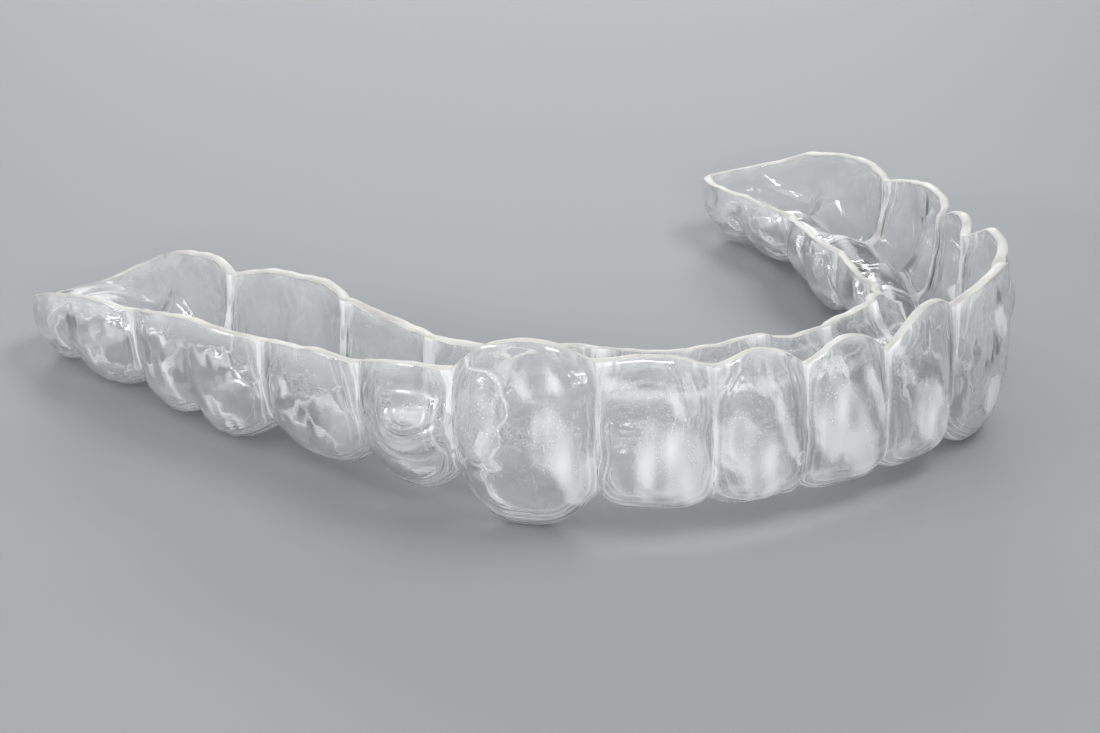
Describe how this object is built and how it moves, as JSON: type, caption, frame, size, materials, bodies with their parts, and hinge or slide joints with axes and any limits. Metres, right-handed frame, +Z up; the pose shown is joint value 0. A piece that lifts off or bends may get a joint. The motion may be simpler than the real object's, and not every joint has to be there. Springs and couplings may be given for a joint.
{
  "type": "clear dental aligner",
  "caption": "Clear removable tray for a lower dental arch: one thin formed sheet with a crown-shaped well for each tooth and a scalloped gum edge.",
  "frame": {"origin": "on the resting plane, under the middle of the footprint", "axes": "+Z up from the biting side to the gum edge; +Y from the front teeth back towards the molars; +X towards the arm at the right of the picture"},
  "size_m": [0.0614, 0.0482, 0.0115],
  "materials": {
    "clear_thermoformed_sheet": "clear and glossy, lightly scratched, with a frosted cut edge"
  },
  "bodies": {
    "root": {"aligner_shell": "clear_thermoformed_sheet"}
  },
  "joints": []
}
